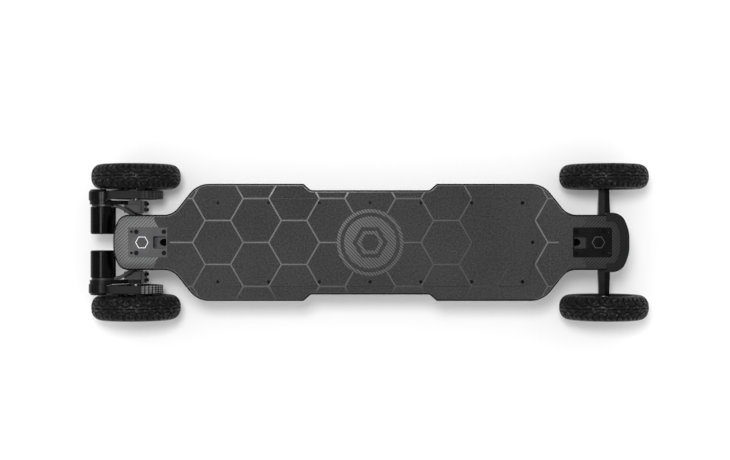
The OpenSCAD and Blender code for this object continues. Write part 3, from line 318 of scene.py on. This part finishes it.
def patternedBelt(name, colour):
    material = mouldedRubber(name, colour, 0.6, 1300.0)
    place = axesOf(material)
    ahead = calc(material, "SUBTRACT", place[0], rearAxle.x)
    above = calc(material, "SUBTRACT", place[2], rearAxle.z)
    turn = calc(material, "ARCTAN2", ahead, above)
    inside = []
    for value, pitch in ((calc(material, "MULTIPLY", turn, beltBack["radius"]), beltBack["pitch"]),
                         (place[1], beltBack["rowPitch"])):
        share = calc(material, "FRACT", calc(material, "DIVIDE", value, pitch))
        fromMiddle = calc(material, "ABSOLUTE", calc(material, "SUBTRACT", share, 0.5))
        inside.append(spread(material, fromMiddle, 0.3, 0.38, 1.0, 0.0))
    square = calc(material, "MULTIPLY", inside[0], inside[1])
    # Painted highlight: the squares turn pale only round the front of the pulleys, and mostly on the
    # right-hand belt
    highlightZone = spread(material, ahead, beltBack["highlightFrom"], beltBack["bareTo"])
    hand = spread(material, place[1], -10 * mm, 10 * mm, 1.0, beltBack["leftShare"])
    patch = spread(material, noise(material, 70.0, 2.0), 0.35, 0.6, 0.45, 1.0)
    amount = calc(material, "MULTIPLY", calc(material, "MULTIPLY", square, patch),
                  calc(material, "MULTIPLY", highlightZone, hand))
    setColour(material, blendColours(material, amount, colour, beltBack["square"]))
    setBump(material, square, 0.25 * mm, 0.6)
    return material


def finishedMetal(name, colour, roughness, metallic, grain=1400.0, depth=0.03, gloss=0.5):
    material = newMaterial(name, colour, roughness, metallic, Specular_IOR_Level=gloss)
    fine = noise(material, grain, 2.0)
    cloud = noise(material, 30.0, 3.0)
    setRoughness(material, calc(material, "ADD", spread(material, fine, 0.3, 0.7, -0.05, 0.05),
                                spread(material, cloud, 0.3, 0.7, roughness - 0.05, roughness + 0.06)))
    second = tuple(min(1.0, c * 1.25 + 0.002) for c in colour)
    setColour(material, blendColours(material, spread(material, cloud, 0.4, 0.7), colour, second))
    setBump(material, fine, depth * mm, 0.5)
    return material


# Grey anodising with a painted reflection: coloured lighter at the tail and darker towards the nose
def paintedLightPlate(name, tailColour, noseColour, roughness):
    material = finishedMetal(name, tailColour, roughness, 1.0)
    along = spread(material, axesOf(material)[0], rearAxle.x, frontAxle.x)
    cloud = spread(material, noise(material, 30.0, 3.0), 0.35, 0.7, 0.92, 1.08)
    setColour(material, scaled(material, blendColours(material, along, tailColour, noseColour), cloud))
    return material


def turnedMetal(name, colour, roughness, pitch):
    material = finishedMetal(name, colour, roughness, 1.0)
    groove = calc(material, "SINE", calc(material, "MULTIPLY", axesOf(material)[1], 2 * math.pi / pitch))
    setBump(material, groove, 0.02 * mm, 0.4)
    return material


def wovenSleeve(name, colour, pitch):
    material = newMaterial(name, colour, 0.6, Sheen_Weight=0.2)
    strand = addNode(material, "ShaderNodeTexVoronoi",
                     {"Vector": objectPlace(material), "Scale": 1 / pitch}, feature="SMOOTH_F1")
    fine = noise(material, 2200.0, 2.0)
    mesh = calc(material, "MULTIPLY_ADD", fine, 0.3, strand.outputs["Distance"])
    light = tuple(c * 3 + 0.015 for c in colour)
    setColour(material, blendColours(material, spread(material, mesh, 0.2, 0.8), light, colour))
    setBump(material, mesh, 0.3 * mm, 0.8)
    return material


def castUrethane(name, colour):
    material = newMaterial(name, colour, 0.4, Subsurface_Weight=0.15, Subsurface_Scale=0.004)
    cloud = noise(material, 60.0, 2.0)
    deep = tuple(c * 0.7 for c in colour)
    setColour(material, blendColours(material, spread(material, cloud, 0.35, 0.7), colour, deep))
    setRoughness(material, spread(material, noise(material, 400.0), 0.3, 0.7, 0.34, 0.5))
    setBump(material, noise(material, 1200.0), 0.03 * mm, 0.4)
    return material


print("making materials")
finishes = {
    "carbonShell": carbonTwill("carbonShell", -1.0, True),
    "carbonLid": carbonTwill("carbonLid", 1.0, False),
    "gritSheet": gritSheet("gritSheet"),
    "treadRubber": tyreRubber("treadRubber"),
    "bumperRubber": mouldedRubber("bumperRubber", (0.0035, 0.0035, 0.0036), 0.5, 1500.0),
    "softRubber": mouldedRubber("softRubber", (0.003, 0.003, 0.003), 0.7),
    "beltRubber": patternedBelt("beltRubber", (0.014, 0.014, 0.0145)),
    "blackAlloy": finishedMetal("blackAlloy", (0.0014, 0.0014, 0.0015), 0.22, 0.0, gloss=0.08),
    # Mount plates: painted reflection, lighter at the tail end and darker towards the nose
    "plateAlloy": paintedLightPlate("plateAlloy", (0.02, 0.02, 0.0205), (0.006, 0.006, 0.0062), 0.34),
    "motorPaint": finishedMetal("motorPaint", (0.0004, 0.0004, 0.0004), 0.1, 0.0, gloss=0.06),
    "rimPaint": finishedMetal("rimPaint", (0.004, 0.004, 0.0042), 0.3, 0.0, gloss=0.2),
    "castAlloy": finishedMetal("castAlloy", (0.022, 0.022, 0.023), 0.45, 1.0, 800.0, 0.08),
    "bareAlloy": turnedMetal("bareAlloy", (0.6, 0.6, 0.62), 0.3, 0.35 * mm),
    "bareSteel": turnedMetal("bareSteel", (0.16, 0.16, 0.165), 0.3, 0.3 * mm),
    "blackSteel": finishedMetal("blackSteel", (0.002, 0.002, 0.0021), 0.34, 0.0, gloss=0.03),
    # Badge rings and fields: painted reflection, lighter at the tail badge and darker at the nose badge
    "badgeRing": paintedLightPlate("badgeRing", (0.2, 0.2, 0.2), (0.05, 0.05, 0.051), 0.36),
    "badgeField": paintedLightPlate("badgeField", (0.017, 0.017, 0.0174), (0.0052, 0.0052, 0.0054), 0.36),
    "darkPlastic": finishedMetal("darkPlastic", (0.02, 0.02, 0.02), 0.5, 0.0, 1600.0, 0.04),
    "cellWrap": finishedMetal("cellWrap", (0.02, 0.16, 0.09), 0.3, 0.0, 500.0, 0.02),
    "circuitBoard": finishedMetal("circuitBoard", (0.01, 0.09, 0.03), 0.4, 0.0, 900.0, 0.05),
    "redSilicone": mouldedRubber("redSilicone", (0.35, 0.012, 0.012), 0.5, 1100.0),
    "statorPaint": finishedMetal("statorPaint", (0.006, 0.006, 0.006), 0.4, 0.0, 900.0, 0.05, gloss=0.3),
    "leadSleeve": wovenSleeve("leadSleeve", (0.006, 0.006, 0.006), 1.1 * mm),
    "bushingUrethane": castUrethane("bushingUrethane", (0.62, 0.07, 0.02)),
}


# Making pieces

def bodyOf(node):
    return frame["nodes"][node]["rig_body"]


# The name of a piece that stands for a node: front_left_tyre gives frontLeftTyre
def pieceName(node):
    words = node.split("_")
    return words[0] + "".join(word.capitalize() for word in words[1:])


def finishPiece(bm, name, finish, body, *nodes, sharp=32):
    bm.normal_update()
    for face in bm.faces:
        face.smooth = True
    for edge in bm.edges:
        edge.smooth = edge.is_manifold and edge.calc_face_angle(0) < math.radians(sharp)
    mesh = bpy.data.meshes.new(name)
    bm.to_mesh(mesh)
    bm.free()
    piece = bpy.data.objects.new(name, mesh)
    bpy.context.scene.collection.objects.link(piece)
    mesh.materials.append(finishes[finish])
    if nodes:
        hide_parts(*nodes)
    if body:
        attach(piece, body)
    return piece


def copyNode(node):
    bm = bmesh.new()
    bm.from_mesh(frame["nodes"][node].data)
    bmesh.ops.remove_doubles(bm, verts=bm.verts, dist=2e-6)
    bmesh.ops.dissolve_limit(bm, angle_limit=math.radians(0.6), verts=bm.verts, edges=bm.edges)
    return bm


def addBevel(piece, width, segments=2, angle=32):
    bevel = piece.modifiers.new("softEdge", "BEVEL")
    bevel.width = width
    bevel.segments = segments
    bevel.limit_method = "ANGLE"
    bevel.angle_limit = math.radians(angle)
    bevel.harden_normals = True
    bevel.use_clamp_overlap = True
    return bevel


# A CAD node with its edges broken, as a machined or moulded part has them
def softened(node, finish, width, segments=2, angle=32):
    piece = finishPiece(copyNode(node), pieceName(node), finish, bodyOf(node), node)
    addBevel(piece, width, segments, angle)
    return piece


def dressed(node, finish):
    target = frame["nodes"][node]
    target.data.materials.clear()
    target.data.materials.append(finishes[finish])


# Turns a closed section, given as (radius, sideways) points, about a level axis through centre
def lathe(bm, points, centre, steps):
    verts = [bm.verts.new((centre.x, centre.y + side, centre.z + radius)) for radius, side in points]
    edges = [bm.edges.new(pair) for pair in zip(verts, verts[1:] + verts[:1])]
    bmesh.ops.spin(bm, geom=verts + edges, cent=centre, axis=(0, 1, 0),
                   angle=2 * math.pi, steps=steps, use_merge=True)


def closeUp(bm):
    bmesh.ops.remove_doubles(bm, verts=bm.verts, dist=1e-6)
    bmesh.ops.recalc_face_normals(bm, faces=bm.faces)


# Deck: the shell's outer rim is rolled over, top and bottom
deckEdge = {"top": 4.2 * mm, "bottom": 3.0 * mm, "segments": 5}


def outerLoop(bm, height, side):
    found = set()
    for edge in bm.edges:
        flat = [f for f in edge.link_faces if side * f.normal.z > 0.9]
        upright = [f for f in edge.link_faces if abs(f.normal.z) < 0.1]
        if flat and upright and all(abs(v.co.z - height) < 1e-5 for v in edge.verts):
            found.add(edge)
    loops = []
    while found:
        loop, queue = set(), [found.pop()]
        while queue:
            edge = queue.pop()
            loop.add(edge)
            near = [e for v in edge.verts for e in v.link_edges if e in found]
            found.difference_update(near)
            queue.extend(near)
        loops.append(loop)

    def length(loop):
        xs = [v.co.x for e in loop for v in e.verts]
        return max(xs) - min(xs)

    return list(max(loops, key=length))


def makeDeck():
    bm = copyNode("deck_shell")
    bm.normal_update()
    under = min(v.co.z for v in bm.verts if v.co.x > frontAxle.x)
    top = outerLoop(bm, deckTop, 1)
    bmesh.ops.bevel(bm, geom=top, offset=deckEdge["top"], segments=deckEdge["segments"], profile=0.5,
                    affect="EDGES", material=-1, clamp_overlap=True)
    bm.normal_update()
    bottom = outerLoop(bm, under, -1)
    bmesh.ops.bevel(bm, geom=bottom, offset=deckEdge["bottom"], segments=deckEdge["segments"],
                    profile=0.5, affect="EDGES", material=-1, clamp_overlap=True)
    finishPiece(bm, "deckShell", "carbonShell", "deck", "deck_shell", sharp=40)


# Badges: a dark field with a plain raised hexagonal outline
badge = {"radius": 13 * mm, "line": 1.7 * mm, "height": 0.8 * mm, "field": 0.45 * mm}


def hexagon(bm, centre, radius, height):
    made = bmesh.ops.create_cone(bm, cap_ends=True, cap_tris=False, segments=6, radius1=radius,
                                 radius2=radius, depth=height)
    bmesh.ops.rotate(bm, verts=made["verts"], cent=(0, 0, 0), matrix=Matrix.Rotation(math.pi / 2, 3, "Z"))
    bmesh.ops.translate(bm, verts=made["verts"], vec=centre + Vector((0, 0, height / 2)))
    return made["verts"]


def makeBadges():
    low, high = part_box("badges")
    places = [Vector((low.x + badge["radius"], 0, low.z)), Vector((high.x - badge["radius"], 0, low.z))]
    field = bmesh.new()
    ring = bmesh.new()
    for place in places:
        hexagon(field, place, badge["radius"] - badge["line"] - 0.05 * mm, badge["field"])
        verts = hexagon(ring, place, badge["radius"], badge["height"])
        caps = [f for f in ring.faces if abs(f.normal.z) > 0.9 and f.verts[0] in verts]
        bmesh.ops.inset_individual(ring, faces=caps, thickness=badge["line"])
        inner = [f for f in caps if f.is_valid]
        bmesh.ops.bridge_loops(ring, edges=[e for f in inner for e in f.edges])
        bmesh.ops.delete(ring, geom=inner, context="FACES_ONLY")
    for bm in (field, ring):
        closeUp(bm)
    finishPiece(field, "badgeFields", "badgeField", "deck", "badges")
    rings = finishPiece(ring, "badgeRings", "badgeRing", "deck", "badges")
    addBevel(rings, 0.15 * mm)


print("making the deck")
makeDeck()
makeBadges()
softened("deck_lid", "carbonLid", 0.3 * mm)
softened("nose_bumper", "bumperRubber", 1.6 * mm, 4)
softened("mount_plates", "plateAlloy", 0.8 * mm, 3)
softened("mount_bolts", "blackSteel", 0.3 * mm)
softened("lid_screws", "blackSteel", 0.2 * mm)
dressed("grip_deck", "gritSheet")
dressed("grip_lid", "gritSheet")
dressed("lid_seal", "softRubber")

for node, finish in (("battery_cells", "cellWrap"), ("cell_holders", "darkPlastic"),
                     ("battery_board", "circuitBoard"), ("motor_controller", "bareAlloy"),
                     ("power_leads", "redSilicone"), ("charge_port", "darkPlastic")):
    dressed(node, finish)
softened("switch_bezel", "blackAlloy", 0.3 * mm)
softened("power_button", "bareSteel", 0.4 * mm)
softened("charge_flap", "softRubber", 0.4 * mm)
softened("cable_grommets", "softRubber", 0.5 * mm)


# Trucks
print("making the trucks")
for end in ("rear", "front"):
    softened(end + "_knuckle", "blackAlloy", 0.9 * mm, 3)
    softened(end + "_lower_kingpin", "blackSteel", 0.4 * mm)
    softened(end + "_upper_bushings", "bushingUrethane", 1.0 * mm, 3)
    softened(end + "_lower_bushings", "bushingUrethane", 1.0 * mm, 3)
    softened(end + "_lower_pivot_cup", "darkPlastic", 0.3 * mm)
    softened(end + "_hanger", "blackAlloy", 1.2 * mm, 3)
    softened(end + "_axle", "bareSteel", 0.4 * mm)
    softened(end + "_wheel_bearings", "bareSteel", 0.3 * mm)
softened("baseplates", "castAlloy", 0.9 * mm, 3)
softened("riser_pads", "softRubber", 0.4 * mm)
softened("upper_kingpins", "blackSteel", 0.4 * mm)
softened("upper_pivot_cups", "darkPlastic", 0.3 * mm)


# Tyres: a smooth carcass with the tread pressed into it
tyre = {
    "repeats": 22,          # tread pattern round the tyre
    "stepsPerRepeat": 18,
    "halfWidth": 25 * mm,
    "power": 2.2,           # of the superellipse that the section follows
    "rim": 45 * mm,
    "grooveDepth": 2.6 * mm,
    "crownColumns": 62,
    "wallColumns": 10,
}


def tyreSection():
    middle = (tyreRadius + tyre["rim"]) / 2
    height = tyreRadius - middle
    power = tyre["power"]
    points = []
    columns = tyre["crownColumns"]
    for i in range(columns + 1):  # even steps across the tread
        side = tyre["halfWidth"] * 0.94 * (2 * i / columns - 1)
        rise = (1 - (abs(side) / tyre["halfWidth"]) ** power) ** (1 / power)
        points.append((middle + height * rise, side))
    start = math.asin(((points[0][0] - middle) / height) ** (power / 2))
    wall = []
    for i in range(1, tyre["wallColumns"] + 1):  # down the wall to the bead
        turn = start + (-math.radians(68) - start) * i / tyre["wallColumns"]
        radius = middle + height * math.copysign(abs(math.sin(turn)) ** (2 / power), turn)
        wall.append((radius, tyre["halfWidth"] * math.cos(turn) ** (2 / power)))
    return points + wall + [(radius, -side) for radius, side in reversed(wall)]


def smoothStep(value, low, high):
    share = min(1.0, max(0.0, (value - low) / (high - low)))
    return share * share * (3 - 2 * share)


# How deep the tread is, from 0 to 1, at a share of one repeat and a distance from the middle.
# A dashed line runs round the middle, then a wavy groove each side of it, then hooked slots
# down the shoulder with a half slot and two pits between them. The right side is half a
# repeat behind the left.
def treadDepth(share, side):
    away = abs(side) / mm
    dash = 1 - smoothStep(away, 0.9, 1.6)
    dash *= smoothStep(share, 0.0, 0.05) * (1 - smoothStep(share, 0.72, 0.78))
    turned = share + (0.5 if side < 0 else 0)
    wave = 7.2 + 1.9 * math.sin(2 * math.pi * turned)
    ripple = (1 - smoothStep(abs(away - wave), 0.6, 1.4)) * 0.8
    climb = (away - 9.0) / 13.5
    slot = 0.0
    if climb > 0:
        bend = 0.27 + 0.24 * math.sin(math.pi * min(1.0, climb) * 0.9)
        apart = abs((turned - bend + 0.5) % 1 - 0.5)
        slot = (1 - smoothStep(apart, 0.05, 0.1)) * smoothStep(climb, 0.0, 0.1)
        slot *= 1 - smoothStep(climb, 0.88, 1.0)
        apart = abs((turned - bend) % 1 - 0.5)
        half = (1 - smoothStep(apart, 0.035, 0.08)) * smoothStep(climb, 0.26, 0.4)
        slot = max(slot, half * (1 - smoothStep(climb, 0.8, 0.95)))
        pit = math.hypot((turned * 25.4) % 12.7 - 6.0, away - 13.5)
        slot = max(slot, 0.8 - smoothStep(pit, 0.8, 1.7))
    return max(dash, ripple, slot)


def tyreMesh():
    bm = bmesh.new()
    lathe(bm, tyreSection(), Vector(), tyre["repeats"] * tyre["stepsPerRepeat"])
    closeUp(bm)
    groove = bm.verts.layers.float.new("groove")
    crown = bm.verts.layers.float.new("crown")
    core = (tyreRadius + tyre["rim"]) / 2
    for vert in bm.verts:
        radius = math.hypot(vert.co.x, vert.co.z)
        outward = Vector((vert.co.x / radius, 0, vert.co.z / radius))
        push = (outward * (radius - core) + Vector((0, vert.co.y, 0))).normalized()
        share = (math.atan2(vert.co.z, vert.co.x) / (2 * math.pi) * tyre["repeats"]) % 1
        vert[crown] = smoothStep(radius, core + 4 * mm, core + 12 * mm)
        if radius > core + 4 * mm:
            depth = treadDepth(share, vert.co.y)
            vert.co -= push * depth * tyre["grooveDepth"]
            vert[groove] = depth
        elif abs(vert.co.y) > 12 * mm:  # raised rings on the wall
            rings = max(1 - smoothStep(abs(radius / mm - place), 0.5, 1.8) for place in (51.5, 62.0))
            rib = (1 - smoothStep(abs(radius / mm - 57), 3.5, 4.5)) * (share * 3 % 1 < 0.5)
            vert.co -= push * 0.6 * mm * (1 - max(rings, rib))
    return bm


def makeTyre(node, bm):
    bmesh.ops.translate(bm, verts=bm.verts, vec=middleOf(node))
    finishPiece(bm, pieceName(node), "treadRubber", bodyOf(node), node, sharp=60)


print("making the wheels")
oneTyre = tyreMesh()
for side in ("front_left", "front_right", "rear_left", "rear_right"):
    makeTyre(side + "_tyre", oneTyre.copy())
    softened(side + "_rim", "rimPaint", 0.8 * mm, 3)
oneTyre.free()
for side in ("rear_left", "rear_right"):
    softened(side + "_pulley", "blackAlloy", 0.15 * mm, 1)


# Drive
print("making the drive")
for side in ("left", "right"):
    softened(side + "_motor_rotor", "motorPaint", 0.9 * mm, 3)
    softened(side + "_motor_pulley", "bareAlloy", 0.15 * mm, 1)
softened("motor_mounts", "blackAlloy", 0.8 * mm, 3)
softened("belt_guards", "blackAlloy", 0.6 * mm, 3)
softened("drive_belts", "beltRubber", 0.25 * mm)
softened("drive_screws", "blackSteel", 0.3 * mm)
softened("motor_stators", "statorPaint", 0.4 * mm)


# Motor leads: a sleeve from each motor to the deck, parted where it passes the knuckle.
# Points are outward, sideways and up from the rear axle.
lead = {
    "radius": 3.6 * mm,
    "sides": 20,
    "split": 22,
    "route": [(32.8, 71, 38), (30.8, 71, 38), (26, 69.7, 37), (17, 65, 36), (8, 59, 38), (-1, 53, 42),
              (-9, 48, 48), (-16, 44.5, 55), (-21.5, 42.6, 61), (-24, 42, 67), (-24, 42, 74.4)],
}


def smoothRoute(points, steps):
    path = []
    for i in range(len(points) - 1):
        a, b = points[max(0, i - 1)], points[i]
        c, d = points[i + 1], points[min(len(points) - 1, i + 2)]
        for step in range(steps):
            t = step / steps
            path.append(0.5 * (2 * b + t * (c - a) + t * t * (2 * a - 5 * b + 4 * c - d)
                               + t ** 3 * (3 * b - 3 * c + d - a)))
    return path + [points[-1]]


def sleeve(path, name):
    bm = bmesh.new()
    made = bmesh.ops.create_circle(bm, cap_ends=True, segments=lead["sides"], radius=lead["radius"])
    ring = list(made["verts"])
    place = Matrix.Identity(4)
    for i, point in enumerate(path):
        ahead = (path[min(len(path) - 1, i + 1)] - path[max(0, i - 1)]).normalized()
        following = Matrix.Translation(point) @ ahead.to_track_quat("Z", "Y").to_matrix().to_4x4()
        if i:
            edges = [e for e in bm.edges if e.verts[0] in ring and e.verts[1] in ring]
            made = bmesh.ops.extrude_edge_only(bm, edges=edges)
            ring = [v for v in made["geom"] if isinstance(v, bmesh.types.BMVert)]
        bmesh.ops.transform(bm, verts=ring, matrix=following @ place.inverted())
        place = following
    bmesh.ops.contextual_create(bm, geom=ring)
    closeUp(bm)
    piece = finishPiece(bm, name, "leadSleeve", None, "phase_leads", sharp=50)
    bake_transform(piece)


print("making the motor leads")
for side, hand in (("left", 1), ("right", -1)):
    points = [rearAxle + Vector((-out, hand * across, up)) * mm for out, across, up in lead["route"]]
    path = smoothRoute(points, 4)
    split = lead["split"]
    sleeve(path[:split + 1], side + "LeadLower")
    sleeve(path[split:], side + "LeadUpper")


# Studio: an overhead panel a little towards the left side, and a soft one over the tail
# that only shows in reflections
print("setting up the studio")
studio = {
    "floor": (0.9, 0.9, 0.9), "world": 0.86,
    "keyWatts": 52.0, "keySize": 0.55, "keyPlace": Vector((-0.18, 0.5, 3.3)),
    "tailWatts": 26.0, "tailSize": 0.8, "tailPlace": Vector((-1.1, 0.05, 2.9)),
}


def makeFloor():
    bm = bmesh.new()
    bmesh.ops.create_grid(bm, x_segments=1, y_segments=1, size=12)
    mesh = bpy.data.meshes.new("studioFloor")
    bm.to_mesh(mesh)
    bm.free()
    floor = bpy.data.objects.new("studioFloor", mesh)
    bpy.context.scene.collection.objects.link(floor)
    mesh.materials.append(newMaterial("floorPaper", studio["floor"], 0.9))


def addLight(name, place, watts, size):
    light = bpy.data.lights.new(name, "AREA")
    light.energy = watts
    light.size = size
    holder = bpy.data.objects.new(name, light)
    bpy.context.scene.collection.objects.link(holder)
    holder.location = place
    holder.rotation_euler = (-place).to_track_quat("-Z", "Y").to_euler()
    return holder


makeFloor()
addLight("keyPanel", studio["keyPlace"], studio["keyWatts"], studio["keySize"])
tailPanel = addLight("tailPanel", studio["tailPlace"], studio["tailWatts"], studio["tailSize"])
tailPanel.visible_diffuse = False
world = bpy.data.worlds.new("studioAir")
world.use_nodes = True
world.node_tree.nodes["Background"].inputs["Color"].default_value = (1, 1, 1, 1)
world.node_tree.nodes["Background"].inputs["Strength"].default_value = studio["world"]
bpy.context.scene.world = world
bpy.context.scene.view_settings.view_transform = "Standard"

# The camera looks straight down on the deck
camera = {"height": 2.66, "wide": 1.4235, "aim": Vector((-0.0108, 0.0242, 0))}
view = bpy.data.cameras.new("overhead")
view.sensor_width = 36
view.lens = view.sensor_width * camera["height"] / camera["wide"]
viewer = bpy.data.objects.new("overhead", view)
bpy.context.scene.collection.objects.link(viewer)
viewer.location = (camera["aim"].x, camera["aim"].y, deckTop + camera["height"])
bpy.context.scene.camera = viewer
